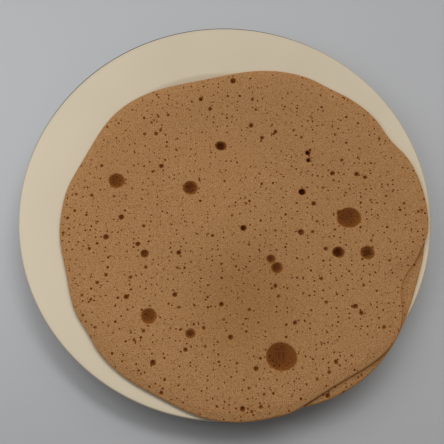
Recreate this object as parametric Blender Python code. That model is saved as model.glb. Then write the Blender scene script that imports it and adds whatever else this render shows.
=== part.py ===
"""Injera on its plate: two thin, soft round flatbreads, one over the other, on a glazed dinner plate.

Metres, +Z up. The origin is on the plate's axis, at the level of the table. The breads lie off the
plate's centre: they sag into the well, climb over its shoulder and reach a little past the lip.
"""

import math

import bmesh
import bpy
import numpy as np
from mathutils import Vector
from mathutils.geometry import delaunay_2d_cdt

MM = 0.001
GAP = 0.3 * MM
MERGE = 0.001 * MM

# The plate, by its radii and the heights over the table
PLATE_RADIUS = 140 * MM
LIP_HEIGHT = 19 * MM
LIP_ROUND = 1 * MM
SHOULDER_RADIUS = 105.2 * MM
SHOULDER_HEIGHT = 12.8 * MM
WELL_RADIUS = 88 * MM
WELL_HEIGHT = 5 * MM
RIM_THICKNESS = 3.4 * MM
BASE_THICKNESS = 2.6 * MM
FOOT_RADIUS = 79 * MM
FOOT_WIDTH = 5 * MM
FOOT_ROUND = 0.8 * MM
FOOT_FLARE = 1 * MM
FOOT_RECESS = 1.6 * MM
WELL_ROUND = 12 * MM
SHOULDER_ROUND = 10 * MM
PLATE_SEGMENTS = 72
ARC_STEPS = 3

# Both breads
BREAD_CENTRE = (12.2 * MM, -13.6 * MM)
BREAD_THICKNESS = 2.4 * MM
EDGE_THICKNESS = 1.5 * MM
EDGE_ROUND = 0.8 * MM
EDGE_TAPER = 6 * MM
TOUCH_RADIUS = 45 * MM
OVERHANG_DROOP = 30.0
OUTLINE_POINTS = 96
TOP_INSETS = (0.0, 0.35 * MM, 2 * MM, 5 * MM)
UNDER_INSETS = (0.0, 0.6 * MM, 4 * MM)
RING_RADII = (15, 30, 45, 60, 75, 88, 98, 108, 118, 128, 137)
RING_SPACING = 13 * MM
RING_CLEARANCE = 3 * MM

# Where the batter ran out further or stopped short: direction in degrees, millimetres, width in degrees
UPPER_RADIUS = 124.0 * MM
UPPER_SWELLS = (
    (19, 2.3, 21),
    (33, -3.1, 6.5),
    (60, -1.3, 6),
    (105, -7.8, 22),
    (137, 1.6, 21),
    (155, -3.2, 13),
    (169, 0.5, 6),
    (197, -2.6, 10),
    (217, -1.3, 5),
    (247, -4.0, 13),
    (254, 3.8, 26),
    (285, 0.9, 4),
    (303, -6.8, 16),
    (341, -13.0, 11),
    (354, -1.6, 4),
)
LOWER_RADIUS = 114.5 * MM
LOWER_SWELLS = (
    (2, 7.0, 17),
    (103, -7.4, 18),
    (197, -2.2, 8),
    (307, 10.7, 36),
)

# Air held under the breads: x, y, height and width in millimetres
HUMPS = ((15, -28, 2.0, 42), (-60, 30, 0.8, 30), (70, 50, 0.7, 28))

# How the upper bread comes down past the edge of the lower one
DRAPE_PAST_EDGE = 22 * MM
DRAPE_INSIDE_EDGE = 10 * MM

# Burst bubbles that the upper bread shows: x, y, width, length and depth in millimetres
BUBBLES = (
    (38.5, -99.5, 19.5, 18.5, 0.9),
    (85.0, -4.5, 16.5, 14.5, 0.9),
    (-77.0, 18.5, 11.0, 11.0, 0.8),
    (-47.5, -76.0, 10.5, 10.5, 0.8),
    (-25.0, 15.5, 10.0, 10.0, 1.0),
    (96.5, -29.0, 9.5, 9.5, 1.0),
    (78.0, -28.5, 8.5, 8.0, 1.4),
    (36.0, -40.5, 8.0, 8.0, 1.0),
    (-4.5, 48.0, 8.0, 6.5, 1.4),
    (-20.0, -86.5, 6.5, 6.5, 1.0),
    (32.0, -34.5, 6.5, 6.0, 0.9),
    (53.5, 14.5, 5.5, 5.0, 1.6),
    (-53.5, -33.5, 5.5, 5.0, 1.5),
    (57.5, 43.5, 4.0, 4.0, 1.6),
    (58.0, 38.0, 3.5, 3.5, 1.6),
)
# Smaller round eyes: x, y and width in millimetres
EYES = (
    (3.0, 97.5, 4.5),
    (-20.0, 82.5, 3.5),
    (-46.0, 30.5, 3.5),
    (-71.0, -8.5, 3.5),
    (61.5, 6.0, 3.5),
    (74.5, 28.0, 3.5),
    (91.0, 27.0, 4.0),
    (-80.0, -23.5, 4.0),
    (-58.5, -27.0, 3.5),
    (-30.5, -32.0, 3.5),
    (13.0, -13.5, 4.0),
    (52.5, -15.0, 4.5),
    (-63.0, -64.0, 3.5),
    (-31.5, -61.0, 3.5),
    (-0.5, -66.5, 3.5),
    (86.5, -66.0, 4.0),
    (90.0, -70.5, 3.0),
    (-42.5, -106.0, 4.0),
    (-22.5, -97.0, 3.5),
    (6.0, -88.0, 3.5),
    (22.5, -107.5, 4.0),
    (72.5, -102.0, 3.5),
    (15.0, -133.0, 3.5),
)
EYE_DEPTH = 1.3 * MM
PIT_WALL = 1.2 * MM
PIT_WALL_SHARE = 0.45
PIT_FLOOR_RING = 0.45
PIT_SIDE = 2.4 * MM
PIT_SIDES = (8, 20)
WIDE_PIT = 6 * MM

PLATE_FINISH = ("cream_glaze", (0.56, 0.48, 0.35), 0.18)
BREAD_FINISH = ("baked_injera", (0.35, 0.18, 0.075), 0.75)


def smooth(t):
    """A soft step from 0 to 1 as t goes from 0 to 1."""
    t = np.clip(t, 0.0, 1.0)
    return t * t * (3.0 - 2.0 * t)


def rounded(corners, steps):
    """The corners (radius, height, rounding) joined by straight lines, with an arc at each rounding."""
    points = []
    for i, (r, z, rounding) in enumerate(corners):
        corner = Vector((r, z))
        if not rounding:
            points.append(corner)
            continue
        back = (Vector(corners[i - 1][:2]) - corner).normalized()
        ahead = (Vector(corners[i + 1][:2]) - corner).normalized()
        half = back.angle(ahead) / 2
        centre = corner + (back + ahead).normalized() * rounding / math.sin(half)
        start = corner + back * rounding / math.tan(half) - centre
        end = corner + ahead * rounding / math.tan(half) - centre
        turn = start.angle_signed(end)
        for k in range(steps + 1):
            angle = -turn * k / steps
            points.append(
                centre
                + Vector(
                    (
                        start.x * math.cos(angle) - start.y * math.sin(angle),
                        start.x * math.sin(angle) + start.y * math.cos(angle),
                    )
                )
            )
    return points


def material(name, colour, roughness):
    """A plain Principled material."""
    made = bpy.data.materials.get(name) or bpy.data.materials.new(name)
    made.use_nodes = True
    shader = made.node_tree.nodes["Principled BSDF"]
    shader.inputs["Base Color"].default_value = (*colour, 1.0)
    shader.inputs["Roughness"].default_value = roughness
    shader.inputs["Metallic"].default_value = 0.0
    return made


def add_object(name, bm, finish):
    """Turns the bmesh into an object of the scene, with its faces pointing out."""
    bmesh.ops.recalc_face_normals(bm, faces=bm.faces)
    mesh = bpy.data.meshes.new(name)
    bm.to_mesh(mesh)
    bm.free()
    mesh.shade_smooth()
    mesh.set_sharp_from_angle(angle=math.radians(40))
    mesh.materials.append(material(*finish))
    made = bpy.data.objects.new(name, mesh)
    bpy.context.scene.collection.objects.link(made)
    return made


def plate():
    """The plate, turned from its profile: along the underside from the axis, round the lip and back."""
    base = WELL_HEIGHT - BASE_THICKNESS
    under_shoulder = SHOULDER_HEIGHT - RIM_THICKNESS
    under_lip = LIP_HEIGHT - RIM_THICKNESS
    wall_shift = RIM_THICKNESS / 2
    corners = (
        (0, FOOT_RECESS, 0),
        (FOOT_RADIUS - FOOT_WIDTH - FOOT_FLARE, FOOT_RECESS, 0),
        (FOOT_RADIUS - FOOT_WIDTH, 0, FOOT_ROUND),
        (FOOT_RADIUS, 0, FOOT_ROUND),
        (FOOT_RADIUS + FOOT_FLARE, FOOT_RECESS, 0),
        (WELL_RADIUS, base, WELL_ROUND),
        (SHOULDER_RADIUS + wall_shift, under_shoulder, SHOULDER_ROUND),
        (PLATE_RADIUS, under_lip, LIP_ROUND),
        (PLATE_RADIUS, LIP_HEIGHT, LIP_ROUND),
        (SHOULDER_RADIUS, SHOULDER_HEIGHT, SHOULDER_ROUND),
        (WELL_RADIUS, WELL_HEIGHT, WELL_ROUND),
        (0, WELL_HEIGHT, 0),
    )
    profile = rounded(corners, ARC_STEPS)
    bm = bmesh.new()
    ring = [bm.verts.new((p.x, 0, p.y)) for p in profile]
    edges = [bm.edges.new(pair) for pair in zip(ring, ring[1:])]
    bmesh.ops.spin(
        bm,
        geom=ring + edges,
        cent=(0, 0, 0),
        axis=(0, 0, 1),
        angle=2 * math.pi,
        steps=PLATE_SEGMENTS,
        use_merge=True,
    )
    bmesh.ops.remove_doubles(bm, verts=bm.verts, dist=MERGE)
    return add_object("plate", bm, PLATE_FINISH)


def reach(angle, radius, swells):
    """How far a bread reaches from its centre in a direction: its radius and the soft swells."""
    total = np.full(np.shape(angle), radius)
    for direction, height, width in swells:
        away = (np.degrees(angle) - direction + 180) % 360 - 180
        total += height * MM * np.exp(-((away / width) ** 2))
    return total


def inset_of(x, y, outline):
    """How far points lie inside a bread's edge, measured towards its centre."""
    x, y = x - BREAD_CENTRE[0], y - BREAD_CENTRE[1]
    return reach(np.arctan2(y, x), *outline) - np.hypot(x, y)


def resting_height(x, y):
    """The level that soft bread takes on the plate: flat on the well, a sag up to the shoulder, the
    slope of the rim, and a droop past the lip, with the air humps on top."""
    r = np.hypot(x, y)
    span = SHOULDER_RADIUS - TOUCH_RADIUS
    slope = (LIP_HEIGHT - SHOULDER_HEIGHT) / (PLATE_RADIUS - SHOULDER_RADIUS)
    t = np.clip((r - TOUCH_RADIUS) / span, 0.0, 1.0)
    sag = (SHOULDER_HEIGHT - WELL_HEIGHT) * smooth(t) + slope * span * (t**3 - t**2)
    rim = slope * np.maximum(r - SHOULDER_RADIUS, 0.0)
    droop = OVERHANG_DROOP * np.maximum(r - PLATE_RADIUS + LIP_ROUND, 0.0) ** 2
    level = WELL_HEIGHT + GAP + sag + rim - droop
    for hx, hy, height, width in HUMPS:
        away = np.hypot(x - hx * MM, y - hy * MM) / (width * MM)
        level += height * MM * np.exp(-(away**2))
    return level


def thickness(inset):
    """A bread's thickness by the distance from its edge: it thins out, and its edge is rounded."""
    body = EDGE_THICKNESS + (BREAD_THICKNESS - EDGE_THICKNESS) * smooth(
        inset / EDGE_TAPER
    )
    near = np.clip(inset / EDGE_ROUND, 0.0, 1.0)
    return body * np.sqrt(1.0 - (1.0 - near) ** 2)


def edge_lift(inset):
    """How far the underside turns up at the very edge."""
    near = np.clip(inset / EDGE_ROUND, 0.0, 1.0)
    return EDGE_THICKNESS / 2 * (1.0 - near) ** 2


def upper_level(x, y):
    """The upper bread's level: on the lower one, and softly down past its edge."""
    inset = inset_of(x, y, (LOWER_RADIUS, LOWER_SWELLS))
    over = smooth((inset + DRAPE_PAST_EDGE) / (DRAPE_PAST_EDGE + DRAPE_INSIDE_EDGE))
    return resting_height(x, y) + GAP + BREAD_THICKNESS * over


def pit_depth(x, y, pit):
    """How deep one burst bubble is at each point: a flat floor and a short soft wall."""
    px, py, width, length, depth = pit
    half = width / 2
    away = np.hypot(x - px, (y - py) * width / length)
    wall = min(PIT_WALL, PIT_WALL_SHARE * half)
    return depth * smooth((half - away) / wall)


def pit_points(pit):
    """Rings of points round a burst bubble: its rim, the foot of its wall and its floor."""
    px, py, width, length, _ = pit
    half = width / 2
    wall = min(PIT_WALL, PIT_WALL_SHARE * half)
    sides = int(np.clip(math.pi * width / PIT_SIDE, *PIT_SIDES))
    rings = [(1.0, sides), (1.0 - wall / half, sides)]
    if width > WIDE_PIT:
        rings.append((PIT_FLOOR_RING, sides // 2))
    points = [(px, py)]
    for share, count in rings:
        for k in range(count):
            angle = 2 * math.pi * k / count
            points.append(
                (
                    px + half * share * math.cos(angle),
                    py + length / 2 * share * math.sin(angle),
                )
            )
    return points


def edge_loop(outline, inset):
    """Points round a bread at a distance inside its edge."""
    angle = np.arange(OUTLINE_POINTS) * 2 * math.pi / OUTLINE_POINTS
    far = reach(angle, *outline) - inset
    return np.stack(
        (
            BREAD_CENTRE[0] + far * np.cos(angle),
            BREAD_CENTRE[1] + far * np.sin(angle),
        ),
        axis=1,
    )


def plan(outline, insets, pits):
    """Points over a bread, seen from above, joined into triangles inside its edge."""
    points = [edge_loop(outline, inset) for inset in insets]
    rings = [(0.0, 0.0)]
    for radius in RING_RADII:
        count = round(2 * math.pi * radius * MM / RING_SPACING)
        for k in range(count):
            angle = 2 * math.pi * (k + 0.5 * (radius % 2)) / count
            rings.append(
                (radius * MM * math.cos(angle), radius * MM * math.sin(angle))
            )
    rings = np.array(rings)
    free = inset_of(rings[:, 0], rings[:, 1], outline) > insets[-1] + RING_CLEARANCE
    for pit in pits:
        away = np.hypot(rings[:, 0] - pit[0], rings[:, 1] - pit[1])
        free &= away > pit[2] / 2 + RING_CLEARANCE
    points.append(rings[free])
    points += [np.array(pit_points(pit)) for pit in pits]
    flat = [Vector(p) for p in np.concatenate(points).tolist()]
    loop = list(range(OUTLINE_POINTS))
    found = delaunay_2d_cdt(flat, [], [loop], 1, MERGE)
    return np.array([tuple(v) for v in found[0]]), found[2]


def bread(name, outline, level, pits=()):
    """One flatbread: an upper and a lower sheet over the same outline, joined at the edge."""
    bm = bmesh.new()
    for insets, is_top in ((TOP_INSETS, True), (UNDER_INSETS, False)):
        points, faces = plan(outline, insets, pits if is_top else ())
        x, y = points[:, 0], points[:, 1]
        inset = inset_of(x, y, outline)
        inset[inset < MERGE] = 0.0
        z = level(x, y) + edge_lift(inset)
        if is_top:
            z = np.maximum(z, level(x, y) + thickness(inset))
            for pit in pits:
                z -= pit_depth(x, y, pit)
        corners = [bm.verts.new(p) for p in zip(x, y, z)]
        for face in faces:
            bm.faces.new([corners[i] for i in face])
    bmesh.ops.remove_doubles(bm, verts=bm.verts, dist=MERGE)
    return add_object(name, bm, BREAD_FINISH)


def main():
    for old in list(bpy.data.objects):
        bpy.data.objects.remove(old, do_unlink=True)
    plate()
    bread("injera_lower", (LOWER_RADIUS, LOWER_SWELLS), resting_height)
    pits = [tuple(v * MM for v in row) for row in BUBBLES]
    pits += [(x * MM, y * MM, w * MM, w * MM, EYE_DEPTH) for x, y, w in EYES]
    bread("injera_upper", (UPPER_RADIUS, UPPER_SWELLS), upper_level, pits)


main()
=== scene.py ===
"""Two soft injera flatbreads, one over the other, on a glazed dinner plate.

The plate and both breads are dressed pieces that stand for the CAD solids of the same names. They
follow the same sizes and the same formulas, on finer grids. Only a few eyes, and the upper bread's
edge at the right and the lower right, are shaped a little differently. The pieces add the small eyes,
the pores and the finishes. Lengths are metres and angles degrees, unless a docstring or a comment
says otherwise. +Z is up, and the origin is under the middle of the plate.
"""

import logging
import math
from dataclasses import dataclass
from enum import Enum

import bpy
import numpy as np
from mathutils import Matrix, Vector


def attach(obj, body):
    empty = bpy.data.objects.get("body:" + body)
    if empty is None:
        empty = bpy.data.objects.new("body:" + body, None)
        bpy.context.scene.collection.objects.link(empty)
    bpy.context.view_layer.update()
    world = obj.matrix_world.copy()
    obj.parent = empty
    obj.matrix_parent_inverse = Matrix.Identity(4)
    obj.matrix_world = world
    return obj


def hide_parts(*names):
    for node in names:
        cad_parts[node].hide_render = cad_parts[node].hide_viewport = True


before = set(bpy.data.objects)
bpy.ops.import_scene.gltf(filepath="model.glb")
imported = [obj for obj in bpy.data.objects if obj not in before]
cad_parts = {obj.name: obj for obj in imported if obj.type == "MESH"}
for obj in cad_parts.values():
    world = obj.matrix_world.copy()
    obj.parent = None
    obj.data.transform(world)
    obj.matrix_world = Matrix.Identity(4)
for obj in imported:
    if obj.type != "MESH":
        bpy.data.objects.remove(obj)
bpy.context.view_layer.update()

log = logging.getLogger("injera")

MM = 0.001
# What the mark for the distance inside an eye's rim says far from every eye, in millimetres
FAR_OUTSIDE = -3.0
Sockets = dict[str | int, object]


def linear(hex_code: str) -> tuple[float, float, float, float]:
    """Turns an sRGB hex colour into the linear colour that a shader takes.

    Args:
        hex_code: The colour as "#RRGGBB".

    Returns:
        Linear red, green, blue and an alpha of 1.
    """
    parts = [int(hex_code[i : i + 2], 16) / 255 for i in (1, 3, 5)]
    return (*[c / 12.92 if c <= 0.04045 else ((c + 0.055) / 1.055) ** 2.4 for c in parts], 1.0)


def smooth(t: np.ndarray) -> np.ndarray:
    """Gives 3t^2 - 2t^3 with t held between 0 and 1: a soft step.

    Args:
        t: Where along the step each value is.

    Returns:
        The height of the step, from 0 to 1.
    """
    t = np.clip(t, 0.0, 1.0)
    return t * t * (3.0 - 2.0 * t)


def turned_from(angle: np.ndarray, direction: float) -> np.ndarray:
    """Gives how far angles are turned from one direction, the shorter way round.

    Args:
        angle: The angles in radians.
        direction: The direction in degrees.

    Returns:
        The turns in degrees, from -180 to 180.
    """
    return (np.degrees(angle) - direction + 180) % 360 - 180


def add_node(
    tree: bpy.types.NodeTree, kind: str, inputs: Sockets | None = None, **settings: object
) -> bpy.types.Node:
    """Adds one node with its settings, and with its inputs linked or set.

    Args:
        tree: The material's node tree.
        kind: The node's type name.
        inputs: For each input, by name or number, a socket to link or a value to set.
        settings: The node's own settings.

    Returns:
        The new node.
    """
    made = tree.nodes.new(kind)
    for name, value in settings.items():
        setattr(made, name, value)
    for name, value in (inputs or {}).items():
        if isinstance(value, bpy.types.NodeSocket):
            tree.links.new(value, made.inputs[name])
        else:
            made.inputs[name].default_value = value
    return made


def new_material(name: str) -> tuple[bpy.types.Material, bpy.types.NodeTree, bpy.types.Node]:
    """Makes a material that holds only a Principled shader and its output.

    Args:
        name: The material's name.

    Returns:
        The material, its node tree and the shader.
    """
    made = bpy.data.materials.new(name)
    made.use_nodes = True
    return made, made.node_tree, made.node_tree.nodes["Principled BSDF"]


def add_piece(
    name: str,
    points: np.ndarray,
    faces: list[list[int]],
    finish: bpy.types.Material,
    stands_for: str,
    marks: dict[str, np.ndarray],
) -> bpy.types.Object:
    """Puts a worked-out surface into the scene as a piece that rides on the part.

    Args:
        name: The piece's name.
        points: One row for each vertex.
        faces: The vertex numbers round each face.
        finish: The material.
        stands_for: The CAD node that the piece replaces.
        marks: Named values for each vertex, which the material reads.

    Returns:
        The new object.
    """
    mesh = bpy.data.meshes.new(name)
    mesh.from_pydata(points.tolist(), [], faces)
    for mark, values in marks.items():
        mesh.attributes.new(mark, "FLOAT", "POINT").data.foreach_set("value", values.astype(np.float32))
    mesh.shade_smooth()
    mesh.materials.append(finish)
    mesh.update()
    made = bpy.data.objects.new(name, mesh)
    bpy.context.scene.collection.objects.link(made)
    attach(made, "root")
    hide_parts(stands_for)
    triangles = sum(len(face) - 2 for face in faces)
    log.info("%s: %d vertices, %d triangles", name, len(points), triangles)
    return made


@dataclass(frozen=True)
class CreamGlaze:
    """Cream glaze, dipped and fired on stoneware.

    The eye sees an even, warm off-white with a soft gloss, faintly cloudy where the glaze pooled, with
    a few small iron specks. A dark, rougher line runs along the lip, darkest round one side, and the
    foot is bare.
    """

    body: str = "#D5C6AB"
    cloud: str = "#CDBEA3"
    lip_line: str = "#1E160D"
    speck: str = "#A08E70"
    bare_clay: str = "#C9B493"
    roughness: float = 0.4
    bare_roughness: float = 0.85
    cloud_size: float = 45 * MM
    speck_spacing: float = 14 * MM
    speck_radius: float = 0.25 * MM
    speck_softness: float = 0.4
    ripple_size: float = 9 * MM
    ripple_depth: float = 0.04 * MM
    index: float = 1.5

    def material(self) -> bpy.types.Material:
        """Builds the glaze from cloudiness, specks, the lip's line and the bare foot.

        Returns:
            The glaze.
        """
        made, tree, shader = new_material("cream_glaze_dipped_stoneware")
        places = add_node(tree, "ShaderNodeTexCoord").outputs["Object"]
        clouds = add_node(
            tree, "ShaderNodeTexNoise", {"Vector": places, "Scale": 1 / self.cloud_size, "Detail": 3.0}
        )
        colour = add_node(
            tree,
            "ShaderNodeMix",
            {"Factor": clouds.outputs["Fac"], 6: linear(self.body), 7: linear(self.cloud)},
            data_type="RGBA",
        ).outputs[2]
        cells = add_node(
            tree, "ShaderNodeTexVoronoi", {"Vector": places, "Scale": 1 / self.speck_spacing}
        )
        near = self.speck_radius / self.speck_spacing
        specks = add_node(
            tree,
            "ShaderNodeMapRange",
            {
                "Value": cells.outputs["Distance"],
                "From Min": near * (1 + self.speck_softness),
                "From Max": near * (1 - self.speck_softness),
            },
        ).outputs["Result"]
        lip = add_node(tree, "ShaderNodeAttribute", attribute_name="lip_line").outputs["Fac"]
        bare = add_node(tree, "ShaderNodeAttribute", attribute_name="bare").outputs["Fac"]
        for share, tone in ((specks, self.speck), (lip, self.lip_line), (bare, self.bare_clay)):
            colour = add_node(
                tree, "ShaderNodeMix", {"Factor": share, 6: colour, 7: linear(tone)}, data_type="RGBA"
            ).outputs[2]
        unglazed = add_node(tree, "ShaderNodeMath", {0: bare, 1: lip}, operation="ADD")
        rough = add_node(
            tree,
            "ShaderNodeMapRange",
            {"Value": unglazed.outputs[0], "To Min": self.roughness, "To Max": self.bare_roughness},
        )
        ripple = add_node(
            tree, "ShaderNodeTexNoise", {"Vector": places, "Scale": 1 / self.ripple_size, "Detail": 1.0}
        )
        relief = add_node(
            tree,
            "ShaderNodeBump",
            {"Height": ripple.outputs["Fac"], "Strength": 1.0, "Distance": self.ripple_depth},
        )
        tree.links.new(colour, shader.inputs["Base Color"])
        tree.links.new(rough.outputs["Result"], shader.inputs["Roughness"])
        tree.links.new(relief.outputs["Normal"], shader.inputs["Normal"])
        shader.inputs["IOR"].default_value = self.index
        return made


@dataclass(frozen=True)
class Pores:
    """One size of pore: how far apart, how wide, how soft, how dark and how deep they are."""

    spacing: float
    least: float
    most: float
    softness: float
    strength: float
    depth: float

    def mask(self, tree: bpy.types.NodeTree, places: bpy.types.NodeSocket) -> bpy.types.NodeSocket:
        """Draws round pores, one in each cell of a scattered pattern seen from above.

        The radius in each cell is least + random * (most - least). The mask is a soft step, from
        -softness to softness, of the radius less the distance, so some cells have no pore.

        Args:
            tree: The material's node tree.
            places: The places that the pattern reads, in metres.

        Returns:
            A socket that is the strength in a pore and 0 between them.
        """
        cells = add_node(
            tree,
            "ShaderNodeTexVoronoi",
            {"Vector": places, "Scale": 1 / self.spacing},
            voronoi_dimensions="2D",
        )
        chance = add_node(tree, "ShaderNodeSeparateColor", {"Color": cells.outputs["Color"]})
        radius = add_node(
            tree,
            "ShaderNodeMapRange",
            {
                "Value": chance.outputs["Red"],
                "To Min": self.least / self.spacing,
                "To Max": self.most / self.spacing,
            },
        )
        inside = add_node(
            tree,
            "ShaderNodeMath",
            {0: radius.outputs["Result"], 1: cells.outputs["Distance"]},
            operation="SUBTRACT",
        )
        edge = self.softness / self.spacing
        shown = add_node(
            tree,
            "ShaderNodeMapRange",
            {"Value": inside.outputs[0], "From Min": -edge, "From Max": edge, "To Max": self.strength},
            interpolation_type="SMOOTHSTEP",
        )
        return shown.outputs["Result"]


@dataclass(frozen=True)
class BakedInjera:
    """Fermented teff batter, poured on a hot griddle and steamed under a lid.

    The eye sees a soft matte brown sheet with a fine grain, thousands of pinholes, and burst bubbles
    whose pitted floors are redder and darker, with painted shade down to nearly black where they
    are deep.
    """

    crust: str = "#BF9368"
    crust_shade: str = "#B98E63"
    # painted shade: the darker crust where soft shadows fall on the breads
    painted_shade: str = "#7E532B"
    grain: str = "#8A5A22"
    pinhole: str = "#662C01"
    edge: str = "#C08A58"
    underside: str = "#B98E62"
    wall: str = "#83501F"
    floor: str = "#6E3E1B"
    deep_floor: str = "#4E2408"
    # painted shade: the near-black deep end of the eye floors, where shade fills deep eyes and holes
    hole_shade: str = "#321202"
    roughness: float = 0.78
    specular_level: float = 0.04
    shade_size: float = 55 * MM
    grain_size: float = 0.62 * MM
    grain_range: tuple[float, float] = (0.3, 0.7)
    grain_strength: float = 0.85
    ragged_size: float = 0.7 * MM
    ragged_reach: float = 0.35
    jitter_size: float = 2.2 * MM
    jitter_reach: float = 0.5 * MM
    eye_edge: float = 0.25
    floor_reach: float = 0.9
    floor_stop: float = 0.36
    deep_floor_stop: float = 0.66
    floor_pitting: float = 0.5
    floor_mottling: float = 0.2
    relief_depth: float = 0.25 * MM
    fine: Pores = Pores(1.3 * MM, -0.1 * MM, 0.37 * MM, 0.1 * MM, 0.55, 0.0)
    middling: Pores = Pores(3.6 * MM, -0.3 * MM, 0.66 * MM, 0.14 * MM, 1.0, 0.1)
    coarse: Pores = Pores(8.5 * MM, -0.6 * MM, 0.95 * MM, 0.2 * MM, 1.0, 0.25)
    floor_pores: Pores = Pores(1.5 * MM, -0.15 * MM, 0.5 * MM, 0.12 * MM, 1.0, 0.4)

    def material(self) -> bpy.types.Material:
        """Builds the crust from its shade, grain, three sizes of pore, the eyes and the edge.

        Returns:
            The bread's material.
        """
        made, tree, shader = new_material("teff_batter_griddle_baked")
        still = add_node(tree, "ShaderNodeTexCoord").outputs["Object"]
        jitter = add_node(
            tree, "ShaderNodeTexNoise", {"Vector": still, "Scale": 1 / self.jitter_size, "Detail": 1.0}
        )
        places = add_node(
            tree,
            "ShaderNodeVectorMath",
            {0: jitter.outputs["Color"], 1: (self.jitter_reach,) * 3, 2: still},
            operation="MULTIPLY_ADD",
        ).outputs[0]
        under = add_node(tree, "ShaderNodeAttribute", attribute_name="under").outputs["Fac"]
        open_side = add_node(
            tree, "ShaderNodeMath", {0: 1.0, 1: under}, operation="SUBTRACT"
        ).outputs[0]
        shade = add_node(
            tree, "ShaderNodeTexNoise", {"Vector": still, "Scale": 1 / self.shade_size, "Detail": 2.0}
        )
        colour = add_node(
            tree,
            "ShaderNodeMix",
            {"Factor": shade.outputs["Fac"], 6: linear(self.crust), 7: linear(self.crust_shade)},
            data_type="RGBA",
        ).outputs[2]
        # the mark of painted shade that each bread carries
        painted_shade = add_node(tree, "ShaderNodeAttribute", attribute_name="painted_shade").outputs["Fac"]
        grain = add_node(
            tree,
            "ShaderNodeTexNoise",
            {"Vector": still, "Scale": 1 / self.grain_size, "Detail": 2.0, "Roughness": 0.6},
        )
        grainy = add_node(
            tree,
            "ShaderNodeMapRange",
            {
                "Value": grain.outputs["Fac"],
                "From Min": self.grain_range[0],
                "From Max": self.grain_range[1],
                "To Max": self.grain_strength,
            },
        )
        for share, tone in ((painted_shade, self.painted_shade), (grainy.outputs["Result"], self.grain)):
            colour = add_node(
                tree, "ShaderNodeMix", {"Factor": share, 6: colour, 7: linear(tone)}, data_type="RGBA"
            ).outputs[2]
        height = grain.outputs["Fac"]
        for pores in (self.fine, self.middling, self.coarse):
            shown = add_node(
                tree,
                "ShaderNodeMath",
                {0: pores.mask(tree, places), 1: open_side},
                operation="MULTIPLY",
            ).outputs[0]
            colour = add_node(
                tree,
                "ShaderNodeMix",
                {"Factor": shown, 6: colour, 7: linear(self.pinhole)},
                data_type="RGBA",
            ).outputs[2]
            height = add_node(
                tree, "ShaderNodeMath", {0: shown, 1: -pores.depth, 2: height}, operation="MULTIPLY_ADD"
            ).outputs[0]
        edge = add_node(tree, "ShaderNodeAttribute", attribute_name="edge").outputs["Fac"]
        for share, tone in ((edge, self.edge), (under, self.underside)):
            colour = add_node(
                tree, "ShaderNodeMix", {"Factor": share, 6: colour, 7: linear(tone)}, data_type="RGBA"
            ).outputs[2]
        colour = self.eyes(tree, still, places, grain.outputs["Fac"], colour)
        relief = add_node(
            tree, "ShaderNodeBump", {"Height": height, "Strength": 1.0, "Distance": self.relief_depth}
        )
        tree.links.new(colour, shader.inputs["Base Color"])
        tree.links.new(relief.outputs["Normal"], shader.inputs["Normal"])
        shader.inputs["Roughness"].default_value = self.roughness
        shader.inputs["Specular IOR Level"].default_value = self.specular_level
        return made

    def eyes(
        self,
        tree: bpy.types.NodeTree,
        still: bpy.types.NodeSocket,
        places: bpy.types.NodeSocket,
        grain: bpy.types.NodeSocket,
        crust: bpy.types.NodeSocket,
    ) -> bpy.types.NodeSocket:
        """Colours the eyes from how far inside the rim each point is and from the eye's tone.

        The distance inside the rim comes with the mesh and is in millimetres, as are ragged_reach,
        eye_edge and floor_reach. Noise makes it ragged. The colour runs from the wall over the floor to
        the near-black painted shade of a hole with distance / floor_reach, held to 1, times the tone, to
        which small pits and the grain add.

        Args:
            tree: The material's node tree.
            still: The places without jitter.
            places: The places that the pores read.
            grain: The crust's grain, which mottles the floors.
            crust: The colour between the eyes.

        Returns:
            The colour with the eyes in it.
        """
        rim = add_node(tree, "ShaderNodeAttribute", attribute_name="eye_inside").outputs["Fac"]
        tone = add_node(tree, "ShaderNodeAttribute", attribute_name="eye_tone").outputs["Fac"]
        noise = add_node(
            tree, "ShaderNodeTexNoise", {"Vector": still, "Scale": 1 / self.ragged_size, "Detail": 1.0}
        )
        ragged = add_node(
            tree,
            "ShaderNodeMapRange",
            {
                "Value": noise.outputs["Fac"],
                "To Min": -self.ragged_reach,
                "To Max": self.ragged_reach,
            },
        )
        inside = add_node(
            tree, "ShaderNodeMath", {0: rim, 1: ragged.outputs["Result"]}, operation="ADD"
        ).outputs[0]
        shown = add_node(
            tree,
            "ShaderNodeMapRange",
            {"Value": inside, "From Min": -self.eye_edge, "From Max": self.eye_edge},
            interpolation_type="SMOOTHSTEP",
        ).outputs["Result"]
        far = add_node(
            tree, "ShaderNodeMapRange", {"Value": inside, "From Min": 0.0, "From Max": self.floor_reach}
        ).outputs["Result"]
        spots = self.floor_pores.mask(tree, places)
        pitted = add_node(
            tree, "ShaderNodeMath", {0: spots, 1: self.floor_pitting, 2: tone}, operation="MULTIPLY_ADD"
        ).outputs[0]
        mottled = add_node(
            tree,
            "ShaderNodeMapRange",
            {
                "Value": grain,
                "From Min": self.grain_range[0],
                "From Max": self.grain_range[1],
                "To Min": -self.floor_mottling,
                "To Max": self.floor_mottling,
            },
        )
        pitted = add_node(
            tree, "ShaderNodeMath", {0: pitted, 1: mottled.outputs["Result"]}, operation="ADD"
        ).outputs[0]
        depth = add_node(
            tree, "ShaderNodeMath", {0: far, 1: pitted}, operation="MULTIPLY"
        ).outputs[0]
        ramp = add_node(tree, "ShaderNodeValToRGB", {"Fac": depth})
        stops = ramp.color_ramp.elements
        stops[0].color = linear(self.wall)
        # the deep end of the ramp is painted shade
        stops[1].color = linear(self.hole_shade)
        stops.new(self.floor_stop).color = linear(self.floor)
        stops.new(self.deep_floor_stop).color = linear(self.deep_floor)
        return add_node(
            tree,
            "ShaderNodeMix",
            {"Factor": shown, 6: crust, 7: ramp.outputs["Color"]},
            data_type="RGBA",
        ).outputs[2]


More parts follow.
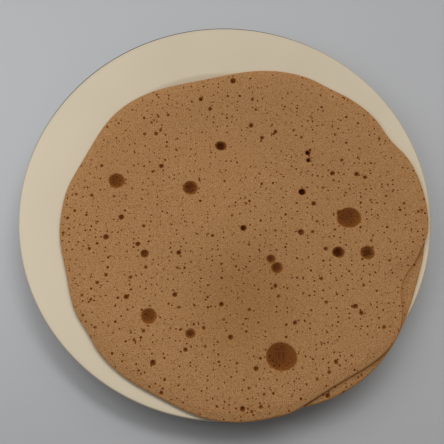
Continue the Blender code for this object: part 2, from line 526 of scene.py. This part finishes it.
@dataclass(frozen=True)
class DinnerPlate:
    """The round plate: a foot ring, a shallow well, a shoulder and a wide, rising rim.

    The line along the lip is strongest round lip_line_side, which is a direction and a reach.
    """

    radius: float = 140 * MM
    lip_height: float = 19 * MM
    lip_round: float = 1 * MM
    shoulder_radius: float = 105.2 * MM
    shoulder_height: float = 12.8 * MM
    shoulder_round: float = 10 * MM
    well_radius: float = 88 * MM
    well_height: float = 5 * MM
    well_round: float = 12 * MM
    rim_thickness: float = 3.4 * MM
    base_thickness: float = 2.6 * MM
    foot_radius: float = 79 * MM
    foot_width: float = 5 * MM
    foot_round: float = 0.8 * MM
    foot_flare: float = 1 * MM
    foot_recess: float = 1.6 * MM
    bare_height: float = 0.4 * MM
    lip_line_width: float = 1.3 * MM
    lip_line_side: tuple[float, float] = (112.0, 48.0)
    lip_line_least: float = 0.22
    segments: int = 256
    arc_steps: int = 10
    longest_step: float = 2.5 * MM

    def rim_slope(self) -> float:
        """How much the rim rises for each metre outwards."""
        return (self.lip_height - self.shoulder_height) / (self.radius - self.shoulder_radius)

    def corners(self) -> list[tuple[float, float, float]]:
        """Lists the profile's corners from the middle of the underside round the lip to the well.

        Returns:
            Radius, height and rounding of each corner.
        """
        inner_foot = self.foot_radius - self.foot_width
        return [
            (0.0, self.foot_recess, 0.0),
            (inner_foot - self.foot_flare, self.foot_recess, 0.0),
            (inner_foot, 0.0, self.foot_round),
            (self.foot_radius, 0.0, self.foot_round),
            (self.foot_radius + self.foot_flare, self.foot_recess, 0.0),
            (self.well_radius, self.well_height - self.base_thickness, self.well_round),
            (
                self.shoulder_radius + self.rim_thickness / 2,
                self.shoulder_height - self.rim_thickness,
                self.shoulder_round,
            ),
            (self.radius, self.lip_height - self.rim_thickness, self.lip_round),
            (self.radius, self.lip_height, self.lip_round),
            (self.shoulder_radius, self.shoulder_height, self.shoulder_round),
            (self.well_radius, self.well_height, self.well_round),
            (0.0, self.well_height, 0.0),
        ]

    def profile(self) -> np.ndarray:
        """Joins the corners by straight runs, with an arc at each rounding.

        An arc touches both runs at rounding / tan(half the corner's angle) from the corner, and its
        centre is rounding / sin(half the angle) along the line that halves it. Straight runs are then
        cut into equal steps no longer than longest_step.

        Returns:
            Radius and height of each point along the profile.
        """
        corners = self.corners()
        points: list[np.ndarray] = []
        for i, (r, z, rounding) in enumerate(corners):
            corner = Vector((r, z))
            if not rounding:
                points.append(np.array([corner[:]]))
                continue
            back = (Vector(corners[i - 1][:2]) - corner).normalized()
            ahead = (Vector(corners[i + 1][:2]) - corner).normalized()
            half = back.angle(ahead) / 2
            centre = corner + (back + ahead).normalized() * rounding / math.sin(half)
            start = corner + back * rounding / math.tan(half) - centre
            end = corner + ahead * rounding / math.tan(half) - centre
            turn = -start.angle_signed(end) * np.linspace(0, 1, self.arc_steps + 1)
            points.append(
                np.array(centre)
                + np.stack(
                    (
                        start.x * np.cos(turn) - start.y * np.sin(turn),
                        start.x * np.sin(turn) + start.y * np.cos(turn),
                    ),
                    axis=1,
                )
            )
        joined = np.concatenate(points)
        runs = []
        for a, b in zip(joined, joined[1:]):
            steps = max(1, math.ceil(np.hypot(*(b - a)) / self.longest_step))
            runs.append(a + (b - a) * (np.arange(steps) / steps)[:, None])
        return np.concatenate([*runs, joined[-1:]])

    def build(self, glaze: CreamGlaze) -> bpy.types.Object:
        """Turns the profile round the axis, closes it at both poles, and glazes it.

        A point is (radius cos a, radius sin a, height) for each profile point and each angle a. The
        line along the lip comes in softly over the inner half of its width, and is as dark as least +
        (1 - least) * exp(-(turn / reach)^4), which is 1 at its strongest side.

        Args:
            glaze: The plate's finish.

        Returns:
            The plate.
        """
        profile = self.profile()
        angle = np.arange(self.segments) * 2 * np.pi / self.segments
        rings = profile[1:-1]
        x = rings[:, :1] * np.cos(angle)
        y = rings[:, :1] * np.sin(angle)
        z = np.broadcast_to(rings[:, 1:], x.shape)
        points = np.stack((x, y, z), axis=2).reshape(-1, 3)
        poles = np.array([[0, 0, profile[0, 1]], [0, 0, profile[-1, 1]]])
        number = np.arange(len(points)).reshape(len(rings), self.segments)
        across = np.roll(number, -1, axis=1)
        quads = np.stack((number[:-1], across[:-1], across[1:], number[1:]), axis=2).reshape(-1, 4)
        low, high = len(points), len(points) + 1
        under_fan = np.stack((np.full(self.segments, low), across[0], number[0]), axis=1)
        top_fan = np.stack((np.full(self.segments, high), number[-1], across[-1]), axis=1)
        faces = quads.tolist() + under_fan.tolist() + top_fan.tolist()
        points = np.concatenate((points, poles))
        r = np.hypot(points[:, 0], points[:, 1])
        height = points[:, 2]
        lip = smooth(2 * (r - self.radius + self.lip_line_width) / self.lip_line_width)
        middle, reach = self.lip_line_side
        away = turned_from(np.arctan2(points[:, 1], points[:, 0]), middle)
        least = self.lip_line_least
        lip *= least + (1 - least) * np.exp(-((away / reach) ** 4))
        foot_middle = self.foot_radius - self.foot_width / 2
        bare = (np.abs(r - foot_middle) < self.foot_width / 2) & (height < self.bare_height)
        return add_piece(
            "plate_glazed",
            points,
            faces,
            glaze.material(),
            "plate",
            {"lip_line": lip, "bare": bare.astype(float)},
        )


@dataclass(frozen=True)
class Outline:
    """How far a bread reaches in each direction from the breads' centre.

    A swell is its direction in degrees, its height in millimetres and its width in degrees.
    """

    radius: float
    swells: tuple[tuple[float, float, float], ...]
    centre: tuple[float, float] = (12.2 * MM, -13.6 * MM)

    def reach(self, angle: np.ndarray) -> np.ndarray:
        """Adds height * exp(-(turn / width)^2) to the radius for each swell.

        Args:
            angle: Directions in radians.

        Returns:
            The distance from the centre to the edge in each direction.
        """
        total = np.full(np.shape(angle), self.radius)
        for direction, height, width in self.swells:
            away = turned_from(angle, direction)
            total += height * MM * np.exp(-((away / width) ** 2))
        return total

    def inset(self, x: np.ndarray, y: np.ndarray) -> np.ndarray:
        """How far points lie inside the edge, measured towards the centre.

        Args:
            x: Across.
            y: Away from the viewer.

        Returns:
            The inset, below 0 outside.
        """
        dx = x - self.centre[0]
        dy = y - self.centre[1]
        return self.reach(np.arctan2(dy, dx)) - np.hypot(dx, dy)


class EyeKind(Enum):
    """What kind of burst bubble it is, by its floor's tone: 0 is the wall's colour and 1 a hole's painted
    shade.
    """

    WIDE = 0.34
    ROUND = 0.42
    MIDDLING = 0.46
    DEEP = 0.7
    HOLE = 1.0


@dataclass(frozen=True)
class Eye:
    """One burst bubble, with its place and sizes in millimetres."""

    x: float
    y: float
    width: float
    length: float
    depth: float
    kind: EyeKind


class Layer(Enum):
    """Which of the two breads is meant."""

    LOWER = "injera_lower"
    UPPER = "injera_upper"


UPPER_OUTLINE = Outline(
    124.0 * MM,
    (
        (19, 2.3, 21),
        (33, -3.1, 6.5),
        (60, -1.3, 6),
        (105, -7.8, 22),
        (137, 1.6, 21),
        (155, -3.2, 13),
        (169, 0.5, 6),
        (197, -2.6, 10),
        (217, -1.3, 5),
        (247, -4.0, 13),
        (254, 3.8, 26),
        (285, 0.9, 4),
        (303, -6.8, 16),
        (310, 1.9, 14),
        (341, -13.0, 11),
        (354, -1.6, 4),
    ),
)
LOWER_OUTLINE = Outline(
    114.5 * MM,
    ((2, 7.0, 17), (103, -7.4, 18), (197, -2.2, 8), (307, 10.7, 36)),
)

# Each eye's place, width, length and depth, in millimetres
WIDE_EYES = (
    (38.5, -99.5, 19.5, 18.5, 0.9),
    (85.0, -4.5, 16.5, 14.5, 0.9),
    (79.3, -1.1, 5.0, 5.0, 0.9),
    (-76.2, 17.4, 11.0, 11.0, 0.8),
    (-47.5, -76.0, 10.5, 10.5, 0.8),
)
MIDDLING_EYES = (
    (-24.8, 15.1, 10.5, 10.5, 1.0),
    (96.1, -29.5, 9.5, 9.5, 1.0),
    (36.0, -40.5, 8.0, 8.0, 1.0),
    (-20.0, -86.5, 6.5, 6.5, 1.0),
    (32.0, -34.5, 6.5, 6.0, 0.9),
)
DEEP_EYES = (
    (77.2, -29.0, 8.5, 8.0, 1.4),
    (-4.4, 47.8, 8.5, 7.2, 1.4),
    (13.0, -13.5, 4.6, 4.6, 1.3),
)
HOLES = ((53.5, 14.5, 5.5, 5.0, 1.6), (57.5, 43.5, 4.0, 4.0, 1.6), (58.0, 38.0, 3.5, 3.5, 1.6))
# Round eyes by their width, each with its place
ROUND_EYES = {
    5.8: ((-53.5, -33.5),),
    4.5: ((3, 97.5), (52.5, -15)),
    4.0: ((-80, -23.5), (-71, -8.5), (-42.5, -106)),
    3.5: (
        (-20, 82.5), (-46, 30.5), (61.5, 6), (91, 27), (86.5, -66), (22.5, -107.5), (74.5, 28),
        (-58.5, -27), (-30.5, -32), (-63, -64), (-31.5, -61), (-0.5, -66.5), (6, -88), (14.4, -132),
        (17, 64),
    ),
    3.0: (
        (-22.5, -97), (72.5, -102), (90, -70.5), (34.5, 59.5), (25, 55), (-51, 54.5), (-13, 75.5),
        (96.5, 24.5), (69, -26.5), (35, -53), (47.5, -77.5),
    ),
    2.5: (
        (17.5, 83.5), (-48, 57.5), (-59, 53.5), (-87, 27.5), (-92, 5.5), (-106.5, -12), (81, 37.5),
        (60.5, -14.5), (-55.5, -14), (-8, -19.5), (-52, -43), (-61.5, -50.5), (-82.5, -55.5),
        (-11.5, -82.5), (-50, -86), (-36, -124), (65.5, -47.5), (103.5, -79.5), (68, -108.5),
        (25.5, -130.5), (37, -60), (68, -63.5), (18, -69.5), (-77.5, -50), (-90, -32.5),
    ),
    2.1: (
        (20, 76), (-50, 67.5), (-54.5, 62.5), (-36, 43.5), (-43, 45.5), (-102.5, 5.5), (-77, 6),
        (76.5, 56.5), (47.5, 60.5), (53, 55), (68, 17.5), (14.5, 4.5), (5, -4.5), (110, 10.5),
        (121.5, 5), (107, 53), (133, 0), (130.5, -1), (63.5, -7), (-31, -42.5), (-28, -69.5),
        (-51, -111), (-55.5, -92), (-91.5, -64.5), (-89.5, -77.5), (-81, -85), (-10, -94.5),
        (-108.5, -22.5), (35, -14.5), (17, -25), (110, -35), (99, -21), (92.5, -52), (8.5, -40.5),
        (10.5, -104.5), (60.5, -113), (18, -119.5), (27.5, -123), (20, -133.5), (1.5, -76.5),
    ),
    1.7: (
        (43, 88), (59.5, 70.5), (80.5, 67), (28.5, 16), (111.5, 28), (-54, 9.5), (-49.5, -113),
        (107.5, -79), (113, -81), (115, -69.5), (51.5, -106), (44.5, -123.5), (30.5, -130),
    ),
}
# Eyes of the lower bread, where it shows past the upper one
LOWER_EYES = {3.4: ((67, -122.5),), 2.1: ((88.5, -109.5),), 1.6: ((77, -120),)}
DEPTH_FOR_WIDTH = 0.45
DEEPEST_ROUND_EYE = 1.3


def eye_list(rows: dict[float, tuple[tuple[float, float], ...]]) -> list[Eye]:
    """Makes round eyes from their places, grouped by width.

    The depth is DEPTH_FOR_WIDTH * width, and at most DEEPEST_ROUND_EYE.

    Args:
        rows: For each width in millimetres, the eyes' places.

    Returns:
        The eyes.
    """
    return [
        Eye(x, y, width, width, min(DEEPEST_ROUND_EYE, DEPTH_FOR_WIDTH * width), EyeKind.ROUND)
        for width, places in rows.items()
        for x, y in places
    ]


@dataclass(frozen=True)
class Injera:
    """One flatbread: a top sheet with eyes and an underside, joined at a thin rounded edge.

    The air humps (x, y, height and width) and wide_eye are in millimetres. drawn_out is the direction
    and the reach of the thin part of the edge.
    """

    layer: Layer
    outline: Outline
    eyes: tuple[Eye, ...]
    plate: DinnerPlate
    cells: int = 280
    under_step: int = 4
    thickness: float = 2.4 * MM
    edge_thickness: float = 1.5 * MM
    edge_round: float = 0.8 * MM
    edge_taper: float = 6 * MM
    edge_crowding: float = 4.0
    drawn_out: tuple[float, float] = (336.0, 14.0)
    drawn_out_share: float = 0.0
    drawn_out_taper: float = 12 * MM
    touch_radius: float = 45 * MM
    overhang_droop: float = 30.0
    gap: float = 0.3 * MM
    # painted shadow: a soft darker spot on the upper bread, for a soft cast shadow
    painted_shadow_spot: tuple[float, float, float] = (15 * MM, -66 * MM, 62 * MM)
    painted_shadow_strength: float = 0.33
    # painted shade on the lower bread along the upper one's edge, where its shadow falls
    edge_shadow_reach: float = 2.6 * MM
    edge_shadow_widening: float = 0.9
    edge_shadow_strength: float = 0.72
    edge_shadow_fading: float = 0.27
    humps: tuple[tuple[float, float, float, float], ...] = (
        (15, -28, 2.0, 42),
        (-60, 30, 0.8, 30),
        (70, 50, 0.7, 28),
    )
    drape_past_edge: float = 22 * MM
    drape_inside_edge: float = 10 * MM
    eye_wall: float = 1.2 * MM
    eye_wall_share: float = 0.45
    wide_eye: float = 6.0
    wide_rim: float = 0.5
    # how far the painted shadow on each eye's floor leans towards its far, left wall
    floor_shadow_lean: float = 0.1
    floor_rim_tone: float = 0.6
    floor_middle_tone: float = 0.7
    gather_reach: float = 1.1 * MM
    gather_least: float = 0.3
    wobble: float = 0.015

    def disc(self) -> tuple[np.ndarray, np.ndarray]:
        """Lays a square grid over the bread, seen from above.

        With u and v from -1 to 1, the ring is max(|u|, |v|) and the direction is a quarter turn for
        each side of the square, so most cells stay nearly square and the last ring is the edge.
        Counted from the edge, ring k lies s * (sqrt(k^2 + c^2) - c) inside it. There c is
        edge_crowding, which packs the rings where the edge is rounded, and s is such that the
        innermost ring is the centre.

        Returns:
            Two arrays of (cells + 1) by (cells + 1) places, x and y.
        """
        side = np.linspace(-1, 1, self.cells + 1)
        u, v = np.meshgrid(side, side, indexing="ij")
        ring = np.maximum(np.abs(u), np.abs(v))
        wide = np.abs(u) >= np.abs(v)
        turn = np.where(
            wide,
            np.pi / 4 * v / np.where(wide & (ring > 0), u, 1) + np.where(u < 0, np.pi, 0),
            np.pi / 2 - np.pi / 4 * u / np.where(wide, 1, v) + np.where(v < 0, np.pi, 0),
        )
        half = self.cells / 2
        k = (1 - ring) * half
        packed = np.hypot(k, self.edge_crowding) - self.edge_crowding
        full = np.hypot(half, self.edge_crowding) - self.edge_crowding
        far = self.outline.reach(turn) * (1 - packed / full)
        return (
            self.outline.centre[0] + far * np.cos(turn),
            self.outline.centre[1] + far * np.sin(turn),
        )

    def resting_height(self, x: np.ndarray, y: np.ndarray) -> np.ndarray:
        """The level that soft bread takes on the plate.

        It lies flat on the well, then follows a cubic from there to the shoulder that meets the slope
        of the rim, then the rim, and past the lip it droops with the square of the overhang. Each air
        hump adds height * exp(-(distance / width)^2).

        Args:
            x: Across.
            y: Away from the viewer.

        Returns:
            The level of the bread's underside.
        """
        plate = self.plate
        r = np.hypot(x, y)
        span = plate.shoulder_radius - self.touch_radius
        slope = plate.rim_slope()
        t = np.clip((r - self.touch_radius) / span, 0.0, 1.0)
        sag = (plate.shoulder_height - plate.well_height) * smooth(t)
        sag += slope * span * (t**3 - t**2)
        rim = slope * np.maximum(r - plate.shoulder_radius, 0.0)
        past = np.maximum(r - plate.radius + plate.lip_round, 0.0)
        level = plate.well_height + self.gap + sag + rim - self.overhang_droop * past**2
        for hx, hy, height, width in self.humps:
            away = np.hypot(x - hx * MM, y - hy * MM) / (width * MM)
            level += height * MM * np.exp(-(away**2))
        return level

    def level(self, x: np.ndarray, y: np.ndarray) -> np.ndarray:
        """The level of this bread's underside: on the plate, or on the lower bread and softly down
        past its edge.

        Args:
            x: Across.
            y: Away from the viewer.

        Returns:
            The level.
        """
        rest = self.resting_height(x, y)
        if self.layer is Layer.LOWER:
            return rest
        inset = LOWER_OUTLINE.inset(x, y)
        over = smooth(
            (inset + self.drape_past_edge) / (self.drape_past_edge + self.drape_inside_edge)
        )
        return rest + self.gap + self.thickness * over

    def thinning(self, x: np.ndarray, y: np.ndarray) -> np.ndarray:
        """Where the upper bread's edge is drawn out thin: exp(-(turn / reach)^4) round one direction.

        Args:
            x: Across.
            y: Away from the viewer.

        Returns:
            0 where the edge is as thick as elsewhere, up to 1.
        """
        direction, reach = self.drawn_out
        middle_x, middle_y = self.outline.centre
        away = turned_from(np.arctan2(y - middle_y, x - middle_x), direction)
        return np.exp(-((away / reach) ** 4))

    def body(self, x: np.ndarray, y: np.ndarray, inset: np.ndarray) -> np.ndarray:
        """How thick the bread is: it tapers towards the edge, and a quarter circle rounds the edge.

        Args:
            x: Across.
            y: Away from the viewer.
            inset: How far inside the edge.

        Returns:
            The thickness.
        """
        thin = self.drawn_out_share * self.thinning(x, y)
        edge = self.edge_thickness * (1 - thin)
        taper = smooth(inset / (self.edge_taper + self.drawn_out_taper * thin))
        near = np.clip(inset / self.edge_round, 0.0, 1.0)
        return (edge + (self.thickness - edge) * taper) * np.sqrt(1.0 - (1.0 - near) ** 2)

    def edge_lift(self, x: np.ndarray, y: np.ndarray, inset: np.ndarray) -> np.ndarray:
        """How far the underside turns up at the edge: half the edge's thickness, by a square.

        Args:
            x: Across.
            y: Away from the viewer.
            inset: How far inside the edge.

        Returns:
            The rise.
        """
        near = np.clip(inset / self.edge_round, 0.0, 1.0)
        edge = self.edge_thickness * (1 - self.drawn_out_share * self.thinning(x, y))
        return edge / 2 * (1.0 - near) ** 2

    def away_from(self, eye: Eye, x: np.ndarray, y: np.ndarray) -> tuple[np.ndarray, np.ndarray]:
        """Distance from an eye's centre, with its length squeezed to its width, and the rim's radius.

        The rim's radius is half the width, times 1 + wobble * (cos 2a + cos 3a), each cosine turned by
        an amount that depends on the eye's place, so that no two rims are alike.

        Args:
            eye: The eye.
            x: Across.
            y: Away from the viewer.

        Returns:
            The distances and the radii.
        """
        dx = x - eye.x * MM
        dy = (y - eye.y * MM) * eye.width / eye.length
        angle = np.arctan2(dy, dx)
        uneven = np.cos(2 * angle + eye.x) + np.cos(3 * angle + eye.y)
        return np.hypot(dx, dy), eye.width * MM / 2 * (1 + self.wobble * uneven)

    def gather(self, x: np.ndarray, y: np.ndarray, inset: np.ndarray) -> None:
        """Draws grid points towards the rim of each eye, so that rims come out round and crisp.

        A point at t from the rim moves to t * (least + (1 - least) |t| / gather_reach).

        Args:
            x: Across, changed in place.
            y: Away from the viewer, changed in place.
            inset: How far inside the edge, which keeps the edge itself still.
        """
        for eye in self.eyes:
            away, rim = self.away_from(eye, x, y)
            t = away - rim
            near = (np.abs(t) < self.gather_reach) & (inset > self.edge_round) & (away > 0)
            least = self.gather_least
            wanted = rim + t * (least + (1 - least) * np.abs(t) / self.gather_reach)
            share = np.where(near, wanted / np.where(away > 0, away, 1), 1)
            x[:] = eye.x * MM + (x - eye.x * MM) * share
            y[:] = eye.y * MM + (y - eye.y * MM) * share

    def sink(self, x: np.ndarray, y: np.ndarray) -> tuple[np.ndarray, np.ndarray, np.ndarray]:
        """Works out the eyes: a flat floor with a short soft wall.

        The depth is depth * smooth((rim - distance) / wall). A floor's tone is its kind's, times
        rim tone + middle tone * (1 - (d / rim)^2), where d counts from a point that lies
        floor_shadow_lean widths to the left of the middle and as far away from the viewer, so the darkest
        part of each floor is painted shadow from its far, left wall.

        Args:
            x: Across.
            y: Away from the viewer.

        Returns:
            The depth, how far inside the nearest rim each point is, and that eye's tone. How far is
            in millimetres, times wide_rim for wide eyes, whose rims are softer.
        """
        depth = np.zeros_like(x)
        inside = np.full_like(x, FAR_OUTSIDE)
        tone = np.zeros_like(x)
        for eye in self.eyes:
            away, rim = self.away_from(eye, x, y)
            wall = min(self.eye_wall, self.eye_wall_share * eye.width * MM / 2)
            depth = np.maximum(depth, eye.depth * MM * smooth((rim - away) / wall))
            here = (rim - away) / MM * (self.wide_rim if eye.width > self.wide_eye else 1.0)
            # painted shadow: the floor is darkest towards its far, left wall
            shift = self.floor_shadow_lean * eye.width
            off_middle = np.hypot(x / MM - eye.x + shift, y / MM - eye.y - shift) * MM / rim
            fade = self.floor_middle_tone * np.clip(1 - off_middle**2, 0, 1)
            tone = np.where(here > inside, eye.kind.value * (self.floor_rim_tone + fade), tone)
            inside = np.maximum(inside, here)
        return depth, inside, tone

    def painted_shade_at(self, x: np.ndarray, y: np.ndarray) -> np.ndarray:
        """Where painted shade darkens the crust: a painted soft shadow round one spot on the upper
        bread, by a soft step of the distance, and painted shade on the lower one along the upper one's
        edge, wider and fainter where that edge is thin.

        Args:
            x: Across.
            y: Away from the viewer.

        Returns:
            How dark the crust is, from 0 to 1.
        """
        if self.layer is Layer.UPPER:
            # painted soft shadow round one spot on the upper bread
            spot_x, spot_y, reach = self.painted_shadow_spot
            return self.painted_shadow_strength * smooth(1 - np.hypot(x - spot_x, y - spot_y) / reach)
        # painted shade on the lower bread along the upper one's edge
        thin = self.thinning(x, y)
        reach = self.edge_shadow_reach * (1 + self.edge_shadow_widening * thin)
        edge_shadow = smooth(1 - np.abs(UPPER_OUTLINE.inset(x, y)) / reach)
        return edge_shadow * (self.edge_shadow_strength - self.edge_shadow_fading * thin)

    def build(self, finish: bpy.types.Material) -> bpy.types.Object:
        """Builds the top sheet and the underside on the same edge, and dresses them.

        The underside takes every under_step-th grid line. Its outermost faces have the top's fine
        edge points along their outer side, so that the two sheets close.

        Args:
            finish: The bread's material.

        Returns:
            The bread.
        """
        x, y = self.disc()
        inset = self.outline.inset(x, y)
        rim = np.zeros(x.shape, bool)
        rim[[0, -1], :] = True
        rim[:, [0, -1]] = True
        inset[rim] = 0.0
        self.gather(x, y, inset)
        inset = np.where(rim, 0.0, self.outline.inset(x, y))
        level = self.level(x, y)
        depth, inside, tone = self.sink(x, y)
        z = level + np.maximum(self.edge_lift(x, y, inset), self.body(x, y, inset)) - depth
        number = np.arange(x.size).reshape(x.shape)
        top = np.stack(
            (number[:-1, :-1], number[1:, :-1], number[1:, 1:], number[:-1, 1:]), axis=2
        ).reshape(-1, 4)

        step = self.under_step
        flat_x, flat_y = self.disc()
        ux = flat_x[::step, ::step][1:-1, 1:-1]
        uy = flat_y[::step, ::step][1:-1, 1:-1]
        uz = self.level(ux, uy) + self.edge_lift(ux, uy, self.outline.inset(ux, uy))
        under = number[::step, ::step].copy()
        under[1:-1, 1:-1] = x.size + np.arange(ux.size).reshape(ux.shape)
        faces = top.tolist() + self.under_faces(number, under)

        points = np.concatenate(
            (
                np.stack((x.ravel(), y.ravel(), z.ravel()), axis=1),
                np.stack((ux.ravel(), uy.ravel(), uz.ravel()), axis=1),
            )
        )
        plain = np.zeros(ux.size)
        marks = {
            "eye_inside": np.concatenate((inside.ravel(), plain + FAR_OUTSIDE)),
            "eye_tone": np.concatenate((tone.ravel(), plain)),
            "edge": np.concatenate((1 - smooth(inset / self.edge_round).ravel(), plain)),
            "painted_shade": np.concatenate((self.painted_shade_at(x, y).ravel(), plain)),
            "under": np.concatenate((np.zeros(x.size), plain + 1.0)),
        }
        return add_piece(
            f"{self.layer.value}_baked", points, faces, finish, self.layer.value, marks
        )

    def under_faces(self, number: np.ndarray, under: np.ndarray) -> list[list[int]]:
        """Lists the underside's faces, which look down.

        Args:
            number: The top grid's vertex numbers.
            under: The underside grid's vertex numbers, which are the top's along the edge.

        Returns:
            The vertex numbers round each face.
        """
        step = self.under_step
        inner = np.stack((under[:-1, :-1], under[:-1, 1:], under[1:, 1:], under[1:, :-1]), axis=2)
        faces = inner[1:-1, 1:-1].reshape(-1, 4).tolist()
        last = under.shape[0] - 2
        for i in range(last + 1):
            for j in range(last + 1):
                if 0 < i < last and 0 < j < last:
                    continue
                a, b = i * step, (i + 1) * step
                c, d = j * step, (j + 1) * step
                left = number[a, c:d] if i == 0 else under[i, j : j + 1]
                far = number[a:b, d] if j == last else under[i : i + 1, j + 1]
                right = number[b, d:c:-1] if i == last else under[i + 1, j + 1 : j + 2]
                near = number[b:a:-1, c] if j == 0 else under[i + 1 : i + 2, j]
                faces.append(np.concatenate((left, far, right, near)).tolist())
        return faces


@dataclass(frozen=True)
class Softbox:
    """A soft oblong lamp that points at the plate."""

    name: str
    azimuth: float
    elevation: float
    distance: float
    width: float
    height: float
    power: float
    colour: str

    def build(self) -> None:
        """Places the lamp by its direction and turns it towards the origin."""
        lamp = bpy.data.lights.new(self.name, "AREA")
        lamp.shape = "RECTANGLE"
        lamp.size = self.width
        lamp.size_y = self.height
        lamp.energy = self.power
        lamp.color = linear(self.colour)[:3]
        made = bpy.data.objects.new(self.name, lamp)
        turn, rise = math.radians(self.azimuth), math.radians(self.elevation)
        place = self.distance * Vector(
            (math.cos(rise) * math.cos(turn), math.cos(rise) * math.sin(turn), math.sin(rise))
        )
        made.location = place
        made.rotation_euler = place.to_track_quat("Z", "Y").to_euler()
        made.visible_camera = False
        bpy.context.scene.collection.objects.link(made)


@dataclass(frozen=True)
class Studio:
    """The camera at the photograph's viewing angle, the lamps and the plain pale floor."""

    view_angle: float = 40.0
    tilt: float = 16.952
    roll: float = 1.8128
    distance: float = 411.7 * MM
    aim: tuple[float, float, float] = (-1.86 * MM, -11.75 * MM, 19 * MM)
    nearest_seen: float = 10 * MM
    floor_side: float = 4.0
    floor_level: float = -0.05 * MM
    floor_colour: str = "#B4B5B7"
    floor_roughness: float = 0.6
    sky_colour: str = "#FFFFFF"
    sky_strength: float = 0.15
    lamps: tuple[Softbox, ...] = (
        Softbox("strip", 62.0, 56.0, 1.5, 1.4, 0.3, 7.5, "#FFFFFF"),
        Softbox("window", 90.0, 50.0, 1.5, 1.8, 1.0, 6.1, "#FFFFFF"),
        Softbox("side", 170.0, 50.0, 0.45, 0.35, 0.35, 0.73, "#FFFFFF"),
        Softbox("fill", -8.0, 40.0, 0.32, 0.2, 0.2, 0.06, "#FFF4E6"),
    )

    def camera(self) -> None:
        """Stands the camera over the near side of the plate, tilted from straight down, and rolled."""
        tilt, roll = math.radians(self.tilt), math.radians(self.roll)
        right = Vector((1, 0, 0))
        up = Vector((0, math.cos(tilt), math.sin(tilt)))
        back = Vector((0, -math.sin(tilt), math.cos(tilt)))
        across = right * math.cos(roll) + up * math.sin(roll)
        above = up * math.cos(roll) - right * math.sin(roll)
        data = bpy.data.cameras.new("camera")
        data.sensor_fit = "HORIZONTAL"
        data.angle = math.radians(self.view_angle)
        data.clip_start = self.nearest_seen
        made = bpy.data.objects.new("camera", data)
        place = Vector(self.aim) + back * self.distance
        turned = Matrix((across, above, back)).transposed().to_4x4()
        made.matrix_world = Matrix.Translation(place) @ turned
        bpy.context.scene.collection.objects.link(made)
        bpy.context.scene.camera = made

    def floor(self) -> None:
        """Lays one plain matte square under the plate."""
        made, _, shader = new_material("matte_grey_laminate")
        shader.inputs["Base Color"].default_value = linear(self.floor_colour)
        shader.inputs["Roughness"].default_value = self.floor_roughness
        half = self.floor_side / 2
        mesh = bpy.data.meshes.new("floor")
        level = self.floor_level
        corners = [(-half, -half, level), (half, -half, level), (half, half, level), (-half, half, level)]
        mesh.from_pydata(corners, [], [(0, 1, 2, 3)])
        mesh.materials.append(made)
        laid = bpy.data.objects.new("floor", mesh)
        bpy.context.scene.collection.objects.link(laid)

    def build(self) -> None:
        """Sets up the camera, floor, sky and lamps."""
        self.camera()
        self.floor()
        scene = bpy.context.scene
        scene.view_settings.view_transform = "Standard"
        world = bpy.data.worlds.new("sky")
        world.use_nodes = True
        scene.world = world
        sky = world.node_tree.nodes["Background"]
        sky.inputs["Color"].default_value = linear(self.sky_colour)
        sky.inputs["Strength"].default_value = self.sky_strength
        for lamp in self.lamps:
            lamp.build()


def main() -> None:
    """Builds the studio, the plate and both breads."""
    Studio().build()
    plate = DinnerPlate()
    plate.build(CreamGlaze())
    crust = BakedInjera().material()
    lower = Injera(Layer.LOWER, LOWER_OUTLINE, tuple(eye_list(LOWER_EYES)), plate, cells=200)
    lower.build(crust)
    kinds = (
        (EyeKind.WIDE, WIDE_EYES),
        (EyeKind.MIDDLING, MIDDLING_EYES),
        (EyeKind.DEEP, DEEP_EYES),
        (EyeKind.HOLE, HOLES),
    )
    eyes = [Eye(*row, kind) for kind, rows in kinds for row in rows] + eye_list(ROUND_EYES)
    upper = Injera(Layer.UPPER, UPPER_OUTLINE, tuple(eyes), plate, drawn_out_share=0.75)
    upper.build(crust)
    log.info("boxes written")


if __name__ == "__main__":
    logging.basicConfig(level=logging.INFO, format="%(name)s: %(message)s")
    main()
